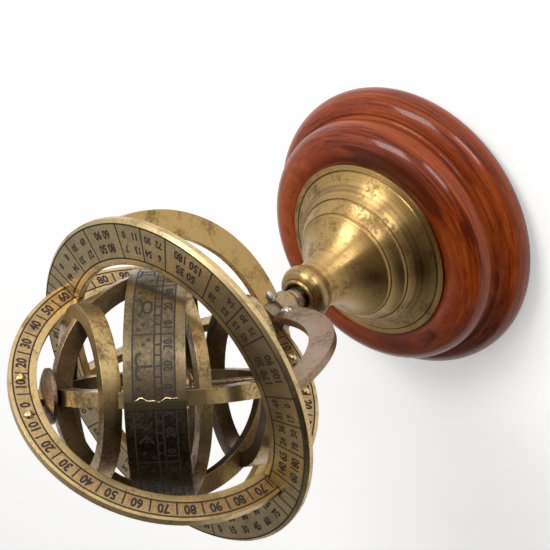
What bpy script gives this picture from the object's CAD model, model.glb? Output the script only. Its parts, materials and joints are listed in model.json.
import json
import math

import bmesh
import bpy
from mathutils import Matrix, Vector, noise


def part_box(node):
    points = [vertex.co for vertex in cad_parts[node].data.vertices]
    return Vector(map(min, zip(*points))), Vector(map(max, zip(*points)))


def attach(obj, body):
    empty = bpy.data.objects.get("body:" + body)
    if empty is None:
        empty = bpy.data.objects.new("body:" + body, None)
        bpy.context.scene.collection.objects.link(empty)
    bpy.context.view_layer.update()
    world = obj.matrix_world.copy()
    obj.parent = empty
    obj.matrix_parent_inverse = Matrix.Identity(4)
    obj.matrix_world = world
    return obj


# Looks of the armillary sphere: patinated brass, varnished wood, dark-filled engraving,
# solder and felt.  Metres, in the CAD frame.

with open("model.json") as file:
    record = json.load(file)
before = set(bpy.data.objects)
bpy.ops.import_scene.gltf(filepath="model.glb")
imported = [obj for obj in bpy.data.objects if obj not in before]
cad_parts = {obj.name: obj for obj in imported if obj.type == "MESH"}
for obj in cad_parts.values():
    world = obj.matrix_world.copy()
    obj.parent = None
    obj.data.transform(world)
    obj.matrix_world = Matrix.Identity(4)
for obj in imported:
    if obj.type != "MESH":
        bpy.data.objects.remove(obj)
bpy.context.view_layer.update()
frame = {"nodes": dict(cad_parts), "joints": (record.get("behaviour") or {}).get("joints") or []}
nodes = frame["nodes"]
joints = {joint["name"]: joint for joint in frame["joints"]}

MM = 0.001
Y_AXIS = Vector((0, 1, 0))
Z_AXIS = Vector((0, 0, 1))

# ---- places taken from the frame ----------------------------------------------
# Radii are counted in ring_unit; the horizon ring's outer radius is this many of them.
horizon_outer_units = 1.024
ring_low, ring_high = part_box("horizon_ring")
plate_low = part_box("meridian_ring")[0]
hub_low, hub_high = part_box("hub")
centre = Vector(joints["meridian_tilt"]["pos_m"])
pole_axis = Vector(joints["sphere_spin"]["axis"]).normalized()
horizon_top = ring_high.z
horizon_outer = ring_high.x
ring_unit = horizon_outer / horizon_outer_units
meridian_front = plate_low.y

# ---- layout of the engraving ---------------------------------------------------
# The filling of the engraving stands mark_rise over the brass and goes mark_depth into it.
mark_rise = 0.02 * MM
mark_depth = 0.12 * MM
line_width = 0.40 * MM
polar_lean = math.degrees(math.atan2(pole_axis.x, pole_axis.z))
sphere_turn = 228.5
ecliptic_tilt = 23.5
meridian_band_inner = 0.777 * ring_unit
meridian_band_outer = 0.864 * ring_unit
meridian_zero = 63.7
horizon_band_inner = 0.795 * ring_unit
horizon_band_outer = 1.0 * ring_unit
zodiac_radius = 0.668 * ring_unit
zodiac_width = 0.325 * ring_unit
zodiac_frame_north = 0.35 * zodiac_width
zodiac_scale_north = 0.0
zodiac_scale_south = -0.11 * zodiac_width
zodiac_frame_south = -0.325 * zodiac_width
blackened_middle = math.radians(-38)
black_edge_waver = 3.0 * MM
black_edge_fade = 3.5 * MM

# ---- sizes of the marks ----------------------------------------------------------
number_squeeze = 0.86
meridian_number_height = 2.65 * MM
wide_number_height = 2.45 * MM
long_number_height = 2.3 * MM
narrow_number_height = 2.0 * MM
zodiac_number_height = 2.2 * MM
dash_width = 0.42 * MM
sign_half_width = 3.7 * MM
sign_half_height = 2.05 * MM
sign_stroke_width = 0.54 * MM
star_reach = 0.6 * MM
star_stroke_width = 0.22 * MM
stars_beside_sign = 4
star_column = 5.0 * MM
star_column_step = 1.2 * MM
star_sway = 1.4 * MM

# ---- dividers of the engraving, in metres and degrees --------------------------------
degrees_per_facet = 1.5
degrees_per_arc_step = 20
meridian_divider_gap = 0.5 * MM
notch_half_width = 1.4 * MM
first_divider = 7.5
# A short line stands this far outside the first and the last divider.
mark_before_cells = 4.5
mark_after_cells = 4.3
shared_cells = [14.5, 11, 10, 21, 10.5, 13.5, 19.5, 11, 11.5]
back_cells = shared_cells + [44]
front_cells = shared_cells + [17, 13.5, 13.5]
widest_divided_cell = 30
long_cell_steps = (30, 15)
long_cell_counts = (5, 6)
# The room left at each end of a run, counted in its spacings.
long_cell_margin = 0.6

# ---- grain of the brass, in patches or lines per metre -----------------------------
cloud_scale = 150
mottle_scale = 1100
speck_scale = 3300
dust_scale = 1300
fine_turning_scale = 5200
coarse_turning_scale = 1300
brushing_scale = 3600
lump_scale = 330
smudge_scale = 300
worn_edge_radius = 0.35 * MM
soft_edge_radius = 0.22 * MM
grime_distance = 2.5 * MM
deep_grime = (0.05, 0.034, 0.017, 1.0)

# ---- solder ----------------------------------------------------------------------
hub_shoulder = hub_low.z + 0.58 * (hub_high.z - hub_low.z)
arm_degrees = (45, 135, 225, 315)
arm_end_radius = 0.925 * ring_unit
upper_blob_radius = 4.9 * MM
upper_blob_height = hub_shoulder + 0.4 * MM
lower_blob_radius = 4.1 * MM
lower_blob_height = hub_low.z + 4.2 * MM
upper_blob_size = (2.1 * MM, 1.9 * MM, 1.5 * MM)
lower_blob_size = (0.7 * MM, 1.1 * MM, 0.8 * MM)
ring_bead_size = (2.6 * MM, 0.5 * MM, 0.5 * MM)
ring_bead_offset = 1.0 * MM
crossing_dot_size = (0.45 * MM, 0.45 * MM, 0.35 * MM)
crossing_dot_degrees = 4
crossing_dot_depth = 0.7 * MM
blob_swell = 0.28
blob_lumpiness = 1.6

# ---- seam and lap of the zodiac strip ------------------------------------------------
seam_low = zodiac_frame_south - 0.8 * MM
seam_high = zodiac_frame_north - 0.3 * MM
seam_sections = 40
seam_sides = 8
seam_thickness = 0.21 * MM
seam_unevenness = 0.05 * MM
seam_flatness = 0.8
seam_lift = 0.05 * MM
seam_sway = 0.35 * MM
seam_ripple = 0.18 * MM
lap_thickness = 0.22 * MM
lap_start = -0.3
lap_degrees = 4.2
lap_facets = 6
lap_margin = 0.1 * MM


# ---- shader helpers ------------------------------------------------------------
class Shader:
    """Short forms for building one material's node tree around a Principled shader."""

    def __init__(self, name):
        self.material = bpy.data.materials.new(name)
        self.material.use_nodes = True
        self.tree = self.material.node_tree
        self.tree.nodes.clear()
        output = self.tree.nodes.new("ShaderNodeOutputMaterial")
        self.surface = self.tree.nodes.new("ShaderNodeBsdfPrincipled")
        self.tree.links.new(self.surface.outputs["BSDF"], output.inputs["Surface"])
        self.position = self.node("ShaderNodeTexCoord").outputs["Object"]

    def node(self, kind, inputs=None, **settings):
        made = self.tree.nodes.new(kind)
        for key, value in settings.items():
            setattr(made, key, value)
        for key, value in (inputs or {}).items():
            self.put(made.inputs[key], value)
        return made

    def put(self, socket, value):
        """Link another node's output, or write a constant on the socket itself."""
        if isinstance(value, bpy.types.NodeSocket):
            self.tree.links.new(value, socket)
        else:
            socket.default_value = value

    def set(self, name, value):
        """Give one input of the shader its value."""
        self.put(self.surface.inputs[name], value)

    def math(self, operation, a, b=0.0):
        return self.node("ShaderNodeMath", {0: a, 1: b}, operation=operation).outputs[0]

    def vector(self, operation, a, b=(0, 0, 0), output="Vector"):
        return self.node("ShaderNodeVectorMath", {0: a, 1: b}, operation=operation).outputs[output]

    def noise(self, scale, detail, roughness, stretch=(1, 1, 1), distortion=0.0):
        """Cloudy noise; scale is in patches per metre, and stretch multiplies it on each axis."""
        where = self.vector("MULTIPLY", self.position, stretch)
        inputs = {"Vector": where, "Scale": scale, "Detail": detail, "Roughness": roughness,
                  "Distortion": distortion}
        return self.node("ShaderNodeTexNoise", inputs).outputs["Fac"]

    def lines(self, coordinate, scale):
        """Fine parallel lines that follow one coordinate."""
        inputs = {"W": coordinate, "Scale": scale, "Detail": 3.0, "Roughness": 0.7}
        return self.node("ShaderNodeTexNoise", inputs, noise_dimensions="1D").outputs["Fac"]

    def span(self, value, low, high, to_low=0.0, to_high=1.0):
        """Map low..high onto to_low..to_high, clamped, with soft ends."""
        inputs = {"Value": value, "From Min": low, "From Max": high,
                  "To Min": to_low, "To Max": to_high}
        made = self.node("ShaderNodeMapRange", inputs, interpolation_type="SMOOTHSTEP")
        return made.outputs["Result"]

    def mix(self, factor, a, b):
        """Colour a where factor is 0, and b where it is 1."""
        made = self.node("ShaderNodeMix", data_type="RGBA")
        self.put(made.inputs["Factor"], factor)
        self.put(made.inputs["A"], a)
        self.put(made.inputs["B"], b)
        return made.outputs["Result"]

    def radius_about(self, axis):
        """Distance from the line along a unit axis through the centre of the rings."""
        offset = self.vector("SUBTRACT", self.position, centre)
        across = self.vector("CROSS_PRODUCT", offset, axis)
        return self.vector("LENGTH", across, output="Value")

    def height_along(self, axis):
        """Distance from the centre of the rings, measured along a unit axis."""
        offset = self.vector("SUBTRACT", self.position, centre)
        return self.vector("DOT_PRODUCT", offset, axis, output="Value")

    def zone(self, value, low, high, soft=0.3 * MM):
        """1 between low and high, 0 outside."""
        rise = self.span(value, low - soft, low + soft)
        fall = self.span(value, high - soft, high + soft, 1.0, 0.0)
        return self.math("MULTIPLY", rise, fall)

    def rounded_edges(self, radius):
        """The surface's normal, as if its edges were rounded."""
        return self.node("ShaderNodeBevel", {"Radius": radius}, samples=4).outputs["Normal"]

    def edge_wear(self):
        """1 along outside and inside edges, 0 on open faces."""
        rounded = self.rounded_edges(worn_edge_radius)
        plain = self.node("ShaderNodeNewGeometry").outputs["Normal"]
        facing = self.vector("DOT_PRODUCT", rounded, plain, output="Value")
        return self.span(facing, 0.995, 0.90)

    def inward(self):
        """1 on faces turned towards the centre of the rings, 0 on the others."""
        outward = self.vector("NORMALIZE", self.vector("SUBTRACT", self.position, centre))
        normal = self.node("ShaderNodeNewGeometry").outputs["Normal"]
        facing = self.vector("DOT_PRODUCT", outward, normal, output="Value")
        return self.span(facing, 0.0, -0.7)

    def crevice(self, distance):
        """1 deep in a corner, 0 in the open."""
        open_sky = self.node("ShaderNodeAmbientOcclusion", {"Distance": distance}, samples=4)
        return self.span(open_sky.outputs["AO"], 0.75, 0.25)

    def bump(self, height, strength, distance, normal=None):
        inputs = {"Height": height, "Strength": strength, "Distance": distance}
        if normal is not None:
            inputs["Normal"] = normal
        return self.node("ShaderNodeBump", inputs).outputs["Normal"]


def rgb(red, green, blue):
    return (red, green, blue, 1.0)


# ---- materials -----------------------------------------------------------------
def brass(name, polished, tarnished, patina=0.5, roughness=0.34, turned=False,
          brushed_about=None, zones=None, zone_tint=None, lumps=0.0, dark_inside=0.0):
    """Old brass: polished edges, tarnished faces, grime in corners and in engraved zones."""
    s = Shader(name)
    cloud = s.noise(cloud_scale, 3, 0.55)
    mottle = s.noise(mottle_scale, 5, 0.7)
    speck = s.noise(speck_scale, 3, 0.6)
    # Tarnish in clouds and mottles, more of it where patina is higher.
    amount = s.math("ADD", s.math("MULTIPLY", cloud, 0.8), s.math("MULTIPLY", mottle, 0.8))
    amount = s.span(amount, 1.02 - 0.5 * patina, 1.30 - 0.5 * patina)
    colour = s.mix(amount, polished, tarnished)
    height = s.math("MULTIPLY", mottle, 0.5)
    if zones:
        dust = s.span(s.noise(dust_scale, 4, 0.7), 0.35, 0.65, 0.35, 1.0)
        colour = s.mix(s.math("MULTIPLY", zones(s), dust), colour, zone_tint)
    if dark_inside:
        colour = s.mix(s.math("MULTIPLY", s.inward(), dark_inside), colour, deep_grime)
    # Edges worn bright, then grime in specks and corners.
    colour = s.mix(s.math("MULTIPLY", s.edge_wear(), 0.55), colour, polished)
    colour = s.mix(s.span(speck, 0.60, 0.72, 0.0, 0.6), colour, deep_grime)
    colour = s.mix(s.math("MULTIPLY", s.crevice(grime_distance), 0.7), colour, deep_grime)
    if turned:
        # Lathe lines follow the profile, and the highlight spreads across them.
        profile = s.math("ADD", s.radius_about(Z_AXIS), s.height_along(Z_AXIS))
        fine = s.lines(profile, fine_turning_scale)
        coarse = s.lines(profile, coarse_turning_scale)
        colour = s.mix(s.span(fine, 0.48, 0.72, 0.0, 0.45), colour, deep_grime)
        colour = s.mix(s.span(coarse, 0.50, 0.75, 0.0, 0.5), colour, tarnished)
        height = s.math("ADD", height, s.math("ADD", fine, s.math("MULTIPLY", coarse, 1.5)))
        tangent = s.node("ShaderNodeTangent", direction_type="RADIAL", axis="Z")
        s.set("Tangent", tangent.outputs["Tangent"])
        s.set("Anisotropic", 0.85)
        s.set("Anisotropic Rotation", 0.25)
    if brushed_about is not None:
        across = s.math("ADD", s.radius_about(brushed_about), s.height_along(brushed_about))
        streak = s.lines(across, brushing_scale)
        colour = s.mix(s.span(streak, 0.50, 0.75, 0.0, 0.4), colour, tarnished)
        height = s.math("ADD", height, s.math("MULTIPLY", streak, 0.8))
    s.set("Base Color", colour)
    s.set("Metallic", 1.0)
    s.set("Coat Weight", 0.2)
    s.set("Coat Roughness", 0.30)
    s.set("Roughness", s.math("ADD", s.span(amount, 0, 1, roughness - 0.06, roughness + 0.14),
                              s.math("MULTIPLY", speck, 0.08)))
    rounded = s.rounded_edges(soft_edge_radius)
    if lumps:
        rounded = s.bump(s.noise(lump_scale, 3, 0.5), lumps, 0.5 * MM, rounded)
    s.set("Normal", s.bump(height, 0.25, 0.05 * MM, rounded))
    return s.material


def engraved_zone_horizon(s):
    radius = s.radius_about(Z_AXIS)
    return s.zone(radius, horizon_band_inner, horizon_band_outer)


def engraved_zone_meridian(s):
    radius = s.radius_about(Y_AXIS)
    return s.zone(radius, meridian_band_inner, meridian_band_outer)


def engraved_zone_zodiac(s):
    """The engraved strip, and all of the blackened stretch on the far side of the lap."""
    height = s.height_along(sphere_matrix.to_3x3() @ Z_AXIS)
    strip = s.zone(height, zodiac_frame_south, zodiac_frame_north)
    stretch = Vector((math.cos(blackened_middle), math.sin(blackened_middle), 0))
    reach = s.height_along(sphere_matrix.to_3x3() @ stretch)
    edge = zodiac_radius * math.cos(blackened_middle)
    smudge = s.math("MULTIPLY", s.noise(smudge_scale, 3, 0.6), black_edge_waver)
    black = s.span(s.math("ADD", reach, smudge), edge, edge + black_edge_fade)
    return s.math("MAXIMUM", s.math("MULTIPLY", strip, 0.75), black)


def dark_cheeks(s):
    """The upper, slotted part of the hub."""
    past_top = hub_high.z + 1.0 * MM
    return s.zone(s.height_along(Z_AXIS), hub_shoulder - centre.z, past_top - centre.z)


def wood():
    """Stained hardwood under gloss varnish; growth layers lie nearly level."""
    s = Shader("varnished_wood")
    layers = s.noise(1.0, 4, 0.6, stretch=(7, 22, 430), distortion=0.6)
    fine = s.noise(1.0, 3, 0.6, stretch=(30, 160, 2100), distortion=0.3)
    pores = s.noise(1.0, 2, 0.5, stretch=(240, 3600, 3600))
    tone = s.math("ADD", s.math("MULTIPLY", layers, 0.6), s.math("MULTIPLY", fine, 0.4))
    dark = rgb(0.080, 0.0105, 0.0018)
    middle = rgb(0.220, 0.0340, 0.0048)
    light = rgb(0.335, 0.0650, 0.0096)
    colour = s.mix(s.span(tone, 0.38, 0.50), dark, middle)
    colour = s.mix(s.span(tone, 0.49, 0.62), colour, light)
    colour = s.mix(s.span(pores, 0.60, 0.70, 0.0, 0.5), colour, rgb(0.020, 0.003, 0.001))
    colour = s.mix(s.crevice(6 * MM), colour, rgb(0.012, 0.002, 0.001))
    s.set("Base Color", colour)
    s.set("Roughness", s.span(fine, 0.3, 0.7, 0.36, 0.50))
    s.set("Specular IOR Level", 0.06)
    s.set("Coat Weight", 0.55)
    s.set("Coat Roughness", 0.13)
    s.set("Coat IOR", 1.42)
    ripple = s.noise(1.0, 3, 0.6, stretch=(90, 160, 900))
    s.set("Normal", s.bump(fine, 0.12, 0.05 * MM))
    s.set("Coat Normal", s.bump(ripple, 0.16, 0.15 * MM))
    return s.material


def felt():
    s = Shader("felt")
    fibres = s.noise(2600, 4, 0.7, distortion=1.0)
    s.set("Base Color", s.mix(fibres, rgb(0.012, 0.010, 0.010), rgb(0.05, 0.045, 0.045)))
    s.set("Roughness", 0.95)
    s.set("Sheen Weight", 0.5)
    s.set("Normal", s.bump(fibres, 0.7, 0.3 * MM))
    return s.material


def ink():
    """Dark wax and dirt that fills the engraving."""
    s = Shader("engraving_fill")
    dirt = s.noise(2600, 3, 0.6)
    s.set("Base Color", s.mix(dirt, rgb(0.008, 0.006, 0.005), rgb(0.035, 0.025, 0.016)))
    s.set("Roughness", s.span(dirt, 0.3, 0.7, 0.45, 0.75))
    s.set("Metallic", 0.2)
    s.set("Normal", s.bump(dirt, 0.3, 0.03 * MM))
    return s.material


def solder(name, bright, dull):
    s = Shader(name)
    grain = s.noise(1500, 4, 0.65)
    colour = s.mix(s.span(grain, 0.4, 0.65), bright, dull)
    colour = s.mix(s.math("MULTIPLY", s.crevice(1.5 * MM), 0.7), colour, rgb(0.05, 0.045, 0.04))
    s.set("Base Color", colour)
    s.set("Metallic", 1.0)
    s.set("Roughness", s.span(grain, 0.3, 0.7, 0.26, 0.5))
    s.set("Normal", s.bump(grain, 0.35, 0.1 * MM))
    return s.material


def steel():
    s = Shader("steel")
    grain = s.noise(1800, 3, 0.6)
    s.set("Base Color", s.mix(grain, rgb(0.52, 0.52, 0.54), rgb(0.30, 0.30, 0.31)))
    s.set("Metallic", 1.0)
    s.set("Roughness", s.span(grain, 0.3, 0.7, 0.28, 0.45))
    s.set("Normal", s.bump(grain, 0.2, 0.05 * MM))
    return s.material


def floor_material():
    s = Shader("pale_floor")
    speck = s.noise(14, 3, 0.5)
    s.set("Base Color", s.mix(speck, rgb(0.90, 0.90, 0.90), rgb(0.93, 0.93, 0.93)))
    s.set("Roughness", 0.7)
    s.set("Emission Color", rgb(1.0, 1.0, 1.0))
    s.set("Emission Strength", 0.36)
    return s.material


# ---- mesh helpers --------------------------------------------------------------
def finish_mesh(name, bm, body, material):
    """Make a piece from a bmesh, and say which body it rides on and which slot it uses."""
    bmesh.ops.recalc_face_normals(bm, faces=bm.faces)
    mesh = bpy.data.meshes.new(name)
    bm.to_mesh(mesh)
    bm.free()
    made = bpy.data.objects.new(name, mesh)
    bpy.context.scene.collection.objects.link(made)
    mesh.materials.append(material)
    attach(made, body)


def ribbon(bm, place, left, right, closed=False, rise=mark_rise):
    """A thin closed bar between two edges, each a list of (u, v) on the surface of place."""
    sections = []
    for (left_u, left_v), (right_u, right_v) in zip(left, right):
        corners = [
            place(left_u, left_v, rise),
            place(right_u, right_v, rise),
            place(right_u, right_v, -mark_depth),
            place(left_u, left_v, -mark_depth),
        ]
        sections.append([bm.verts.new(corner) for corner in corners])
    count = len(sections)
    for index in range(count if closed else count - 1):
        here = sections[index]
        there = sections[(index + 1) % count]
        for side in range(4):
            after = (side + 1) % 4
            bm.faces.new((here[side], here[after], there[after], there[side]))
    if not closed:
        bm.faces.new(sections[0])
        bm.faces.new(reversed(sections[-1]))


def circle_line(bm, place, across, width=line_width, start=0.0, end=360.0):
    """A line at a constant place across the ring, from start to end degrees."""
    closed = end - start >= 360
    count = max(2, int((end - start) / degrees_per_facet))
    steps = count if closed else count + 1
    angles = [math.radians(start + (end - start) * step / count) for step in range(steps)]
    left = [(angle, across - width / 2) for angle in angles]
    right = [(angle, across + width / 2) for angle in angles]
    ribbon(bm, place, left, right, closed)


def cross_line(bm, place, radius, degrees, low, high, width=line_width):
    """A line across the ring at one angle."""
    angle = math.radians(degrees)
    half = width / 2 / radius
    ribbon(bm, place, [(angle - half, low), (angle - half, high)],
           [(angle + half, low), (angle + half, high)])


def stroke(bm, spot, points, width):
    """A pen stroke through (x, y) points drawn at a spot."""
    left = []
    right = []
    last = len(points) - 1
    for index, point in enumerate(points):
        before = Vector(points[max(index - 1, 0)])
        after = Vector(points[min(index + 1, last)])
        along = (after - before).normalized()
        side = Vector((-along.y, along.x)) * width / 2
        left.append(tuple(Vector(point) + side))
        right.append(tuple(Vector(point) - side))
    ribbon(bm, spot, left, right)


def arc(x, y, radius, start, end):
    """Points of an arc, in degrees, turning from start to end."""
    count = max(4, int(abs(end - start) / degrees_per_arc_step))
    points = []
    for step in range(count + 1):
        angle = math.radians(start + (end - start) * step / count)
        points.append((x + radius * math.cos(angle), y + radius * math.sin(angle)))
    return points


number_shapes = {}


def number_shape(text):
    """Vertices and faces of a number, centred, one unit high and half a unit each way deep."""
    if text not in number_shapes:
        curve = bpy.data.curves.new("number", "FONT")
        curve.body = text
        curve.extrude = 0.5
        curve.resolution_u = 2
        curve.offset = 0.04
        holder = bpy.data.objects.new("number", curve)
        mesh = bpy.data.meshes.new_from_object(holder)
        bm = bmesh.new()
        bm.from_mesh(mesh)
        bmesh.ops.remove_doubles(bm, verts=bm.verts, dist=1e-4)
        bm.verts.index_update()
        xs = [vert.co.x for vert in bm.verts]
        ys = [vert.co.y for vert in bm.verts]
        tall = max(ys) - min(ys)
        middle = ((max(xs) + min(xs)) / 2, (max(ys) + min(ys)) / 2)
        corners = [((v.co.x - middle[0]) / tall, (v.co.y - middle[1]) / tall, v.co.z) for v in bm.verts]
        faces = [[vert.index for vert in face.verts] for face in bm.faces]
        number_shapes[text] = (corners, faces)
        bm.free()
        bpy.data.objects.remove(holder)
        bpy.data.curves.remove(curve)
        bpy.data.meshes.remove(mesh)
    return number_shapes[text]


def number(bm, spot, text, height, x=0.0):
    """Write a number at a spot, moved sideways by x."""
    corners, faces = number_shape(text)
    made = []
    for corner_x, corner_y, corner_z in corners:
        lift = mark_rise if corner_z > 0 else -mark_depth
        made.append(bm.verts.new(spot(x + corner_x * height * number_squeeze, corner_y * height, lift)))
    for face in faces:
        bm.faces.new([made[index] for index in face])


# ---- surfaces that carry marks --------------------------------------------------
def on_horizon(angle, radius, lift):
    return Vector((radius * math.cos(angle), radius * math.sin(angle), horizon_top + lift))


def horizon_spot(degrees, radius):
    """Lettering whose top points to the middle of the ring."""
    angle = math.radians(degrees)
    return lambda x, y, lift: on_horizon(angle + x / radius, radius - y, lift)


def on_meridian(angle, radius, lift):
    x = radius * math.cos(angle)
    z = radius * math.sin(angle)
    return Vector((x, meridian_front - lift, centre.z + z))


def meridian_spot(degrees, radius):
    """Lettering whose top points outwards."""
    angle = math.radians(degrees)
    return lambda x, y, lift: on_meridian(angle - x / radius, radius + y, lift)


# From the zodiac band's own frame, with its pole along Z, to the object's frame at rest.
sphere_matrix = (
    Matrix.Translation(centre)
    @ Matrix.Rotation(math.radians(polar_lean), 4, "Y")
    @ Matrix.Rotation(math.radians(sphere_turn), 4, "Z")
    @ Matrix.Rotation(math.radians(-ecliptic_tilt), 4, "Y")
)


def on_zodiac(angle, height, lift):
    radius = zodiac_radius + lift
    return sphere_matrix @ Vector((radius * math.cos(angle), radius * math.sin(angle), height))


def zodiac_spot(degrees, height):
    """Lettering whose top points north."""
    angle = math.radians(degrees)
    return lambda x, y, lift: on_zodiac(angle + x / zodiac_radius, height + y, lift)


# ---- engraving -------------------------------------------------------------------
def engrave_meridian(material):
    """Two circles with a number every ten degrees and a divider between each pair."""
    bm = bmesh.new()
    middle = (meridian_band_inner + meridian_band_outer) / 2
    divider_end = meridian_band_outer - meridian_divider_gap
    circle_line(bm, on_meridian, meridian_band_inner)
    circle_line(bm, on_meridian, meridian_band_outer)
    for step in range(36):
        degrees = meridian_zero + 10 * step
        from_zero = step % 18
        value = 10 * min(from_zero, 18 - from_zero)
        number(bm, meridian_spot(degrees, middle), str(value), meridian_number_height)
        cross_line(bm, on_meridian, middle, degrees + 5, meridian_band_inner, divider_end)
    finish_mesh("meridian_scale", bm, "meridian", material)


def wide_cell(bm, middle, rows, serial):
    """A long number in each of the two rows."""
    upper = str(10 * (3 + serial % 15)) + " " + str(5 * (serial % 12) + 10)
    lower = str(15 * (2 + serial % 9)) + " " + str(30 * (1 + serial % 6))
    for row, text in zip(rows, (upper, lower)):
        number(bm, horizon_spot(middle, row), text, wide_number_height)


def narrow_cell(bm, middle, rows, serial, width):
    """Two short numbers in each of the two rows."""
    apart = math.radians(width * 0.25) * rows[0]
    figures = [7 * serial % 60, 13 * serial % 60, 29 * serial % 90, 0 if serial % 3 else 30]
    for index, figure in enumerate(figures):
        side = 1 if index % 2 else -1
        spot = horizon_spot(middle, rows[index // 2])
        number(bm, spot, str(figure), narrow_number_height, x=side * apart)


def long_cell(bm, start, rows, width):
    """A long cell with an even run of numbers in each row and no dividers."""
    for row, step, count in zip(rows, long_cell_steps, long_cell_counts):
        spacing = width / (count - 1 + 2 * long_cell_margin)
        for index in range(count):
            degrees = start + spacing * (index + long_cell_margin)
            number(bm, horizon_spot(degrees, row), str(step * index), long_number_height)


def engrave_horizon(material):
    """Two circles, dividers, and cells of numbers in two rows."""
    bm = bmesh.new()
    band = horizon_band_outer - horizon_band_inner
    rows = (horizon_band_inner + 0.30 * band, horizon_band_inner + 0.70 * band)
    short_line_start = horizon_band_inner + 0.475 * band
    notch_half = math.degrees(notch_half_width / horizon_band_inner)
    circle_line(bm, on_horizon, horizon_band_outer)
    for start in (0, 180):
        circle_line(bm, on_horizon, horizon_band_inner,
                    start=start + notch_half, end=start + 180 - notch_half)
    serial = 0
    for half, cells in ((0, back_cells), (180, front_cells)):
        degrees = half + first_divider
        cross_line(bm, on_horizon, rows[1], degrees - mark_before_cells,
                   short_line_start, horizon_band_outer)
        cross_line(bm, on_horizon, rows[1], degrees, horizon_band_inner, horizon_band_outer)
        for index, width in enumerate(cells):
            serial += 1
            if width > widest_divided_cell:
                long_cell(bm, degrees, rows, width)
            elif index % 3 == 0:
                wide_cell(bm, degrees + width / 2, rows, serial)
            else:
                narrow_cell(bm, degrees + width / 2, rows, serial, width)
            degrees += width
            cross_line(bm, on_horizon, rows[1], degrees, horizon_band_inner, horizon_band_outer)
        cross_line(bm, on_horizon, rows[1], degrees + mark_after_cells,
                   short_line_start, horizon_band_outer)
    finish_mesh("horizon_scale", bm, "stand", material)


def sign_strokes():
    """The twelve old signs of the ecliptic, each drawn in a box from -1 to 1."""
    return [
        [[(0, -1), (0, 0.3)], arc(-0.4, 0.4, 0.4, 0, 210), arc(0.4, 0.4, 0.4, 180, -30)],
        [arc(0, -0.35, 0.5, 0, 360), arc(0, 0.85, 0.7, 195, 345)],
        [[(-0.35, -0.75), (-0.35, 0.75)], [(0.35, -0.75), (0.35, 0.75)],
         arc(0, 2.0, 1.3, 237, 303), arc(0, -2.0, 1.3, 123, 57)],
        [arc(-0.5, 0.2, 0.24, 0, 360), arc(0, 0.0, 0.78, 150, 30),
         arc(0.5, -0.2, 0.24, 0, 360), arc(0, 0.0, 0.78, 330, 210)],
        [arc(-0.5, -0.3, 0.26, 0, 360), arc(0.0, 0.35, 0.5, 215, -20) + [(0.35, -0.5)],
         arc(0.55, -0.6, 0.22, 170, 330)],
        [[(-0.8, 0.6), (-0.8, -0.7)], arc(-0.55, 0.45, 0.25, 180, 0) + [(-0.3, -0.7)],
         arc(-0.05, 0.45, 0.25, 180, 0) + [(0.2, -0.6), (0.6, -0.9)], arc(0.4, 0.2, 0.28, 130, -120)],
        [[(-0.8, -0.8), (0.8, -0.8)], [(-0.8, -0.3), (-0.3, -0.3)] + arc(0, 0.15, 0.45, 225, -45)
         + [(0.3, -0.3), (0.8, -0.3)]],
        [[(-0.8, 0.6), (-0.8, -0.7)], arc(-0.55, 0.45, 0.25, 180, 0) + [(-0.3, -0.7)],
         arc(-0.05, 0.45, 0.25, 180, 0) + [(0.2, -0.7), (0.75, -0.6)],
         [(0.55, -0.85), (0.8, -0.58), (0.5, -0.4)]],
        [[(-0.8, -0.8), (0.7, 0.7)], [(0.1, 0.75), (0.75, 0.75), (0.75, 0.1)], [(-0.6, 0.1), (0.1, -0.6)]],
        [[(-0.8, 0.6), (-0.55, -0.5), (-0.2, 0.5)], arc(0.05, 0.3, 0.3, 140, 0) + [(0.3, -0.6)],
         arc(0.5, -0.35, 0.26, 180, -150), arc(0.1, -0.6, 0.22, 0, -150)],
        [[(-0.9, 0.2), (-0.55, 0.5), (-0.3, 0.2), (0.05, 0.5), (0.3, 0.2), (0.6, 0.5), (0.9, 0.2)],
         [(-0.9, -0.5), (-0.55, -0.2), (-0.3, -0.5), (0.05, -0.2), (0.3, -0.5), (0.6, -0.2), (0.9, -0.5)]],
        [arc(-1.2, 0, 0.9, 55, -55), arc(1.2, 0, 0.9, 125, 235), [(-0.6, 0), (0.6, 0)]],
    ]


def star(bm, spot, x, y):
    """Three crossing strokes."""
    for turn in (0, 60, 120):
        angle = math.radians(turn)
        reach = Vector((math.cos(angle), math.sin(angle))) * star_reach
        ends = [(x - reach.x, y - reach.y), (x + reach.x, y + reach.y)]
        stroke(bm, spot, ends, star_stroke_width)


def engrave_zodiac(material):
    """Frame lines, a scale of five-degree dashes, a sign and numbers in each of twelve cells."""
    bm = bmesh.new()
    for height in (zodiac_frame_north, zodiac_scale_north, zodiac_scale_south, zodiac_frame_south):
        circle_line(bm, on_zodiac, height)
    sign_middle = (zodiac_frame_north + zodiac_scale_north) / 2
    number_middle = (zodiac_frame_south + zodiac_scale_south) / 2
    signs = sign_strokes()
    for index in range(12):
        start = 30 * index
        cross_line(bm, on_zodiac, zodiac_radius, start, zodiac_frame_south, zodiac_frame_north)
        for dash in range(1, 6):
            cross_line(bm, on_zodiac, zodiac_radius, start + 5 * dash, zodiac_scale_south,
                       zodiac_scale_north, dash_width)
        for part in (1, 2, 3):
            spot = zodiac_spot(start + 10 * part - 5, number_middle)
            number(bm, spot, str(10 * part), zodiac_number_height)
        spot = zodiac_spot(start + 15, sign_middle)
        for points in signs[index]:
            scaled = [(x * sign_half_width, y * sign_half_height) for x, y in points]
            stroke(bm, spot, scaled, sign_stroke_width)
        for count in range(stars_beside_sign):
            side = -1 if count % 2 else 1
            x = side * (star_column + star_column_step * (count // 2))
            y = star_sway * math.sin(2.1 * count + index)
            star(bm, spot, x, y)
    finish_mesh("zodiac_scale", bm, "inner_sphere", material)


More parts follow.
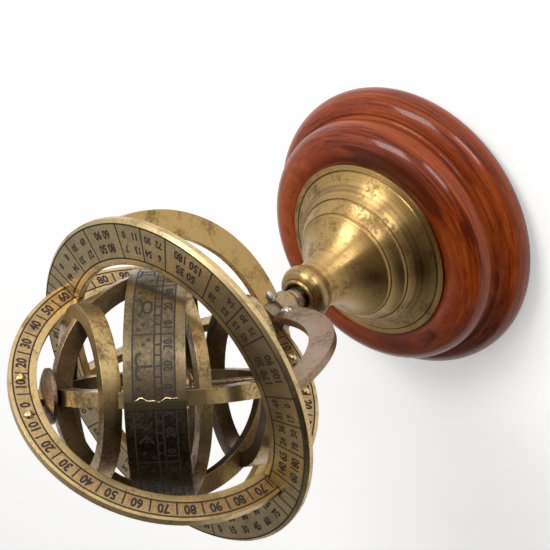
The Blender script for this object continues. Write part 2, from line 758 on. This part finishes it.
# ---- solder and the lap of the zodiac strip --------------------------------------
def blob(bm, middle, radii, turn, seed):
    """An uneven rounded lump with three half-widths; turn is the way that it faces."""
    made = bmesh.ops.create_icosphere(bm, subdivisions=3, radius=1.0)
    for vert in made["verts"]:
        swell = 1 + blob_swell * noise.noise(vert.co * blob_lumpiness + Vector((seed, seed * 2, 0)))
        shaped = Vector((vert.co.x * radii[0], vert.co.y * radii[1], vert.co.z * radii[2])) * swell
        vert.co = middle + turn @ shaped


def solder_at_hub(material):
    """Fillets where the four arms meet the boss of the hub."""
    bm = bmesh.new()
    for index, degrees in enumerate(arm_degrees):
        turn = Matrix.Rotation(math.radians(degrees), 3, "Z")
        upper = turn @ Vector((upper_blob_radius, 0, 0)) + Vector((0, 0, upper_blob_height))
        blob(bm, upper, upper_blob_size, turn, 3.0 * index)
        lower = turn @ Vector((lower_blob_radius, 0, 0)) + Vector((0, 0, lower_blob_height))
        blob(bm, lower, lower_blob_size, turn, 3.0 * index + 1.5)
    finish_mesh("hub_solder", bm, "stand", material)


def solder_at_horizon(material):
    """A bead each side of every arm, under the horizon ring."""
    bm = bmesh.new()
    for index, degrees in enumerate(arm_degrees):
        turn = Matrix.Rotation(math.radians(degrees), 3, "Z")
        for side in (-1, 1):
            beside_arm = turn @ Vector((arm_end_radius, side * ring_bead_offset, 0))
            middle = beside_arm + Vector((0, 0, ring_low.z))
            blob(bm, middle, ring_bead_size, turn, 5.0 * index + side)
    finish_mesh("horizon_solder", bm, "stand", material)


def seam_bead(bm):
    """A wavy bead along the lap of the zodiac strip, thinner towards its two ends."""
    sections = []
    for step in range(seam_sections + 1):
        share = step / seam_sections
        height = seam_low + (seam_high - seam_low) * share
        # Waves of unrelated lengths keep the bead irregular.
        sway = seam_sway * math.sin(9.0 * share) + seam_ripple * math.sin(23.0 * share + 1.0)
        thick = seam_thickness + seam_unevenness * math.sin(31.0 * share)
        thick *= min(1.0, 6 * share + 0.2, 6 * (1 - share) + 0.2)
        section = []
        for side in range(seam_sides):
            angle = math.tau * side / seam_sides
            along = sway + thick * math.cos(angle)
            lift = seam_lift + thick * seam_flatness * math.sin(angle)
            section.append(bm.verts.new(on_zodiac(along / zodiac_radius, height, lift)))
        sections.append(section)
    for here, there in zip(sections, sections[1:]):
        for side in range(seam_sides):
            after = (side + 1) % seam_sides
            bm.faces.new((here[side], here[after], there[after], there[side]))
    bm.faces.new(sections[0])
    bm.faces.new(reversed(sections[-1]))


def crossing_dots(bm):
    """Small dots where the band meets the crossing rings."""
    turn = sphere_matrix.to_3x3()
    for quarter in range(4):
        for side in (-1, 1):
            angle = math.radians(90 * quarter + crossing_dot_degrees * side)
            middle = on_zodiac(angle, side * zodiac_width / 2, -crossing_dot_depth)
            blob(bm, middle, crossing_dot_size, turn, quarter + 0.5 * side)


def solder_on_zodiac(material):
    """The bead of the seam and the dots at the crossing rings, as one piece."""
    bm = bmesh.new()
    seam_bead(bm)
    crossing_dots(bm)
    finish_mesh("zodiac_solder", bm, "inner_sphere", material)


def zodiac_lap(material):
    """The end of the strip where it laps over itself."""
    bm = bmesh.new()
    half = zodiac_width / 2 - lap_margin
    turns = [lap_start - lap_degrees * step / lap_facets for step in range(lap_facets + 1)]
    angles = [math.radians(turn) for turn in turns]
    left = [(angle, -half) for angle in angles]
    right = [(angle, half) for angle in angles]
    ribbon(bm, on_zodiac, left, right, rise=lap_thickness)
    finish_mesh("zodiac_lap", bm, "inner_sphere", material)


# ---- dress the CAD nodes -----------------------------------------------------------
front_left_arm_normal = Vector((math.sqrt(0.5), -math.sqrt(0.5), 0))
foot_brass = brass("foot_brass", rgb(0.535, 0.343, 0.124), rgb(0.31, 0.19, 0.066),
                   patina=0.5, roughness=0.37, turned=True)
stem_brass = brass("stem_brass", rgb(0.45, 0.30, 0.12), rgb(0.23, 0.15, 0.06),
                   patina=0.6, roughness=0.34, turned=True)
horizon_brass = brass("horizon_brass", rgb(0.57, 0.42, 0.20), rgb(0.29, 0.215, 0.10),
                      patina=0.55, roughness=0.34, brushed_about=Z_AXIS, zones=engraved_zone_horizon,
                      zone_tint=rgb(0.34, 0.27, 0.15))
meridian_brass = brass("meridian_brass", rgb(0.55, 0.395, 0.175), rgb(0.29, 0.19, 0.08),
                       patina=0.5, roughness=0.32, brushed_about=Y_AXIS, zones=engraved_zone_meridian,
                       zone_tint=rgb(0.33, 0.205, 0.095), dark_inside=0.4)
zodiac_brass = brass("zodiac_brass", rgb(0.24, 0.178, 0.088), rgb(0.11, 0.082, 0.044),
                     patina=0.6, roughness=0.35, brushed_about=sphere_matrix.to_3x3() @ Z_AXIS,
                     zones=engraved_zone_zodiac, zone_tint=rgb(0.042, 0.035, 0.026), dark_inside=0.75)
inner_brass = brass("inner_brass", rgb(0.44, 0.305, 0.13), rgb(0.145, 0.095, 0.045),
                    patina=0.65, roughness=0.31, dark_inside=0.8)
arm_brass = brass("arm_brass", rgb(0.45, 0.295, 0.105), rgb(0.24, 0.152, 0.056),
                  patina=0.55, roughness=0.34)
arm_bronze = brass("arm_bronze", rgb(0.29, 0.18, 0.10), rgb(0.155, 0.095, 0.052),
                   patina=0.5, roughness=0.34, brushed_about=front_left_arm_normal)
copper_brown = brass("copper_brown", rgb(0.23, 0.15, 0.105), rgb(0.10, 0.063, 0.047),
                     patina=0.6, roughness=0.40, lumps=1.2)
neck_bronze = brass("neck_bronze", rgb(0.40, 0.28, 0.17), rgb(0.22, 0.145, 0.09),
                    patina=0.6, roughness=0.30, turned=True)
rivet_brass = brass("rivet_brass", rgb(0.66, 0.48, 0.22), rgb(0.46, 0.31, 0.13),
                    patina=0.3, roughness=0.26)
hub_brass = brass("hub_brass", rgb(0.36, 0.265, 0.14), rgb(0.16, 0.12, 0.075),
                  patina=0.6, roughness=0.33, zones=dark_cheeks, zone_tint=rgb(0.13, 0.11, 0.08))
lap_brass = brass("lap_brass", rgb(0.10, 0.08, 0.04), rgb(0.045, 0.035, 0.02),
                  patina=0.6, roughness=0.42)
wood_material = wood()
felt_material = felt()
steel_material = steel()
ink_material = ink()
silver_solder = solder("silver_solder", rgb(0.62, 0.60, 0.57), rgb(0.34, 0.32, 0.29))
pale_solder = solder("pale_solder", rgb(0.55, 0.45, 0.26), rgb(0.36, 0.28, 0.15))

node_materials = {
    "felt_pad": felt_material,
    "wooden_base": wood_material,
    "base_bolt": steel_material,
    "base_washer": steel_material,
    "brass_foot": foot_brass,
    "stem_collar": stem_brass,
    "stem_lip_ring": stem_brass,
    "stem_spindle": neck_bronze,
    "hub": hub_brass,
    "cradle_arm_front_left": arm_bronze,
    "cradle_arm_front_right": arm_brass,
    "cradle_arm_back_right": arm_brass,
    "cradle_arm_back_left": arm_brass,
    "horizon_ring": horizon_brass,
    "polar_axle": inner_brass,
    "meridian_ring": meridian_brass,
    "meridian_rivets": rivet_brass,
    "pole_bracket_north": arm_brass,
    "pole_bracket_south": arm_brass,
    "pole_cap_north": copper_brown,
    "pole_cap_south": copper_brown,
    "earth_globe": rivet_brass,
    "equator_ring": inner_brass,
    "parallel_ring_north": inner_brass,
    "parallel_ring_south": inner_brass,
    "zodiac_band": zodiac_brass,
    "colure_solstice": inner_brass,
    "colure_equinox_east": inner_brass,
    "colure_equinox_west": inner_brass,
}
for name, material in node_materials.items():
    nodes[name].data.materials.clear()
    nodes[name].data.materials.append(material)

engrave_meridian(ink_material)
engrave_horizon(ink_material)
engrave_zodiac(ink_material)
solder_at_hub(silver_solder)
solder_at_horizon(silver_solder)
solder_on_zodiac(pale_solder)
zodiac_lap(lap_brass)


# ---- floor, light and camera --------------------------------------------------------
floor_gap = 0.1 * MM
light_aim = Vector((0, 0, 60 * MM))


def add_floor():
    """A plain pale floor, 6 m across, just under the felt."""
    bm = bmesh.new()
    bmesh.ops.create_grid(bm, x_segments=2, y_segments=2, size=3.0)
    mesh = bpy.data.meshes.new("floor")
    bm.to_mesh(mesh)
    bm.free()
    floor = bpy.data.objects.new("floor", mesh)
    floor.location.z = -floor_gap
    mesh.materials.append(floor_material())
    bpy.context.scene.collection.objects.link(floor)


def direction(azimuth, elevation):
    """Unit vector towards an azimuth counted from -Y towards +X, and an elevation."""
    a = math.radians(azimuth)
    e = math.radians(elevation)
    return Vector((math.sin(a) * math.cos(e), -math.cos(a) * math.cos(e), math.sin(e)))


def add_softbox(name, azimuth, elevation, distance, width, height, power):
    """A rectangular light that faces the object; sizes in metres, power in watts."""
    data = bpy.data.lights.new(name, "AREA")
    data.shape = "RECTANGLE"
    data.size = width
    data.size_y = height
    data.energy = power
    lamp = bpy.data.objects.new(name, data)
    toward = direction(azimuth, elevation)
    lamp.location = light_aim + toward * distance
    lamp.rotation_mode = "QUATERNION"
    lamp.rotation_quaternion = (-toward).to_track_quat("-Z", "Y")
    lamp.visible_camera = False
    bpy.context.scene.collection.objects.link(lamp)


def add_world(base, lobes, backdrop):
    """Even studio light with soft brighter and darker regions, and a pale plain backdrop.

    Each lobe is a direction, the angles off it in degrees where the lobe starts and where it is
    full, and the strength that it adds there.
    """
    world = bpy.data.worlds.new("studio")
    world.use_nodes = True
    tree = world.node_tree
    background = tree.nodes["Background"]
    sky = tree.nodes.new("ShaderNodeTexCoord").outputs["Generated"]
    total = None
    for toward, wide, narrow, change in lobes:
        facing = tree.nodes.new("ShaderNodeVectorMath")
        facing.operation = "DOT_PRODUCT"
        tree.links.new(sky, facing.inputs[0])
        facing.inputs[1].default_value = toward
        lobe = tree.nodes.new("ShaderNodeMapRange")
        lobe.interpolation_type = "SMOOTHSTEP"
        tree.links.new(facing.outputs["Value"], lobe.inputs["Value"])
        lobe.inputs["From Min"].default_value = math.cos(math.radians(wide))
        lobe.inputs["From Max"].default_value = math.cos(math.radians(narrow))
        lobe.inputs["To Max"].default_value = change
        add = tree.nodes.new("ShaderNodeMath")
        tree.links.new(lobe.outputs["Result"], add.inputs[0])
        if total is None:
            add.inputs[1].default_value = base
        else:
            tree.links.new(total, add.inputs[1])
        total = add.outputs[0]
    background.inputs["Color"].default_value = rgb(1.0, 0.99, 0.97)
    ray = tree.nodes.new("ShaderNodeLightPath")
    strength = tree.nodes.new("ShaderNodeMix")
    tree.links.new(ray.outputs["Is Camera Ray"], strength.inputs["Factor"])
    tree.links.new(total, strength.inputs["A"])
    strength.inputs["B"].default_value = backdrop
    tree.links.new(strength.outputs["Result"], background.inputs["Strength"])
    bpy.context.scene.world = world


def add_camera(azimuth, elevation, distance, aim, roll, lens):
    """A camera that looks at aim, rolled clockwise about its line of sight."""
    data = bpy.data.cameras.new("camera")
    data.lens = lens
    data.sensor_width = 36.0
    data.clip_start = 0.01
    camera = bpy.data.objects.new("camera", data)
    toward = direction(azimuth, elevation)
    level_right = Z_AXIS.cross(toward).normalized()
    level_up = toward.cross(level_right)
    turn = math.radians(roll)
    right = level_right * math.cos(turn) - level_up * math.sin(turn)
    up = level_right * math.sin(turn) + level_up * math.cos(turn)
    axes = Matrix((right, up, toward)).transposed()
    camera.rotation_mode = "QUATERNION"
    camera.rotation_quaternion = axes.to_quaternion()
    camera.location = aim + toward * distance
    bpy.context.scene.collection.objects.link(camera)
    bpy.context.scene.camera = camera


add_floor()
add_world(base=0.30, lobes=[
    (direction(40, 25), 68, 18, 0.60),
    (direction(115, 30), 50, 12, 0.42),
    (direction(-112, 14), 58, 20, -0.14),
    (direction(-60, 45), 62, 25, -0.22),
], backdrop=0.90)
add_softbox("key_right", azimuth=43, elevation=38, distance=0.75, width=0.34, height=0.24, power=2.9)
add_softbox("key_front", azimuth=-5, elevation=15, distance=0.70, width=0.30, height=0.14, power=1.4)
add_camera(azimuth=-24.05, elevation=39.7, distance=352.9 * MM,
           aim=Vector((7.6, -3.4, 53.2)) * MM, roll=123.1, lens=87.0)
bpy.context.scene.view_settings.view_transform = "Standard"
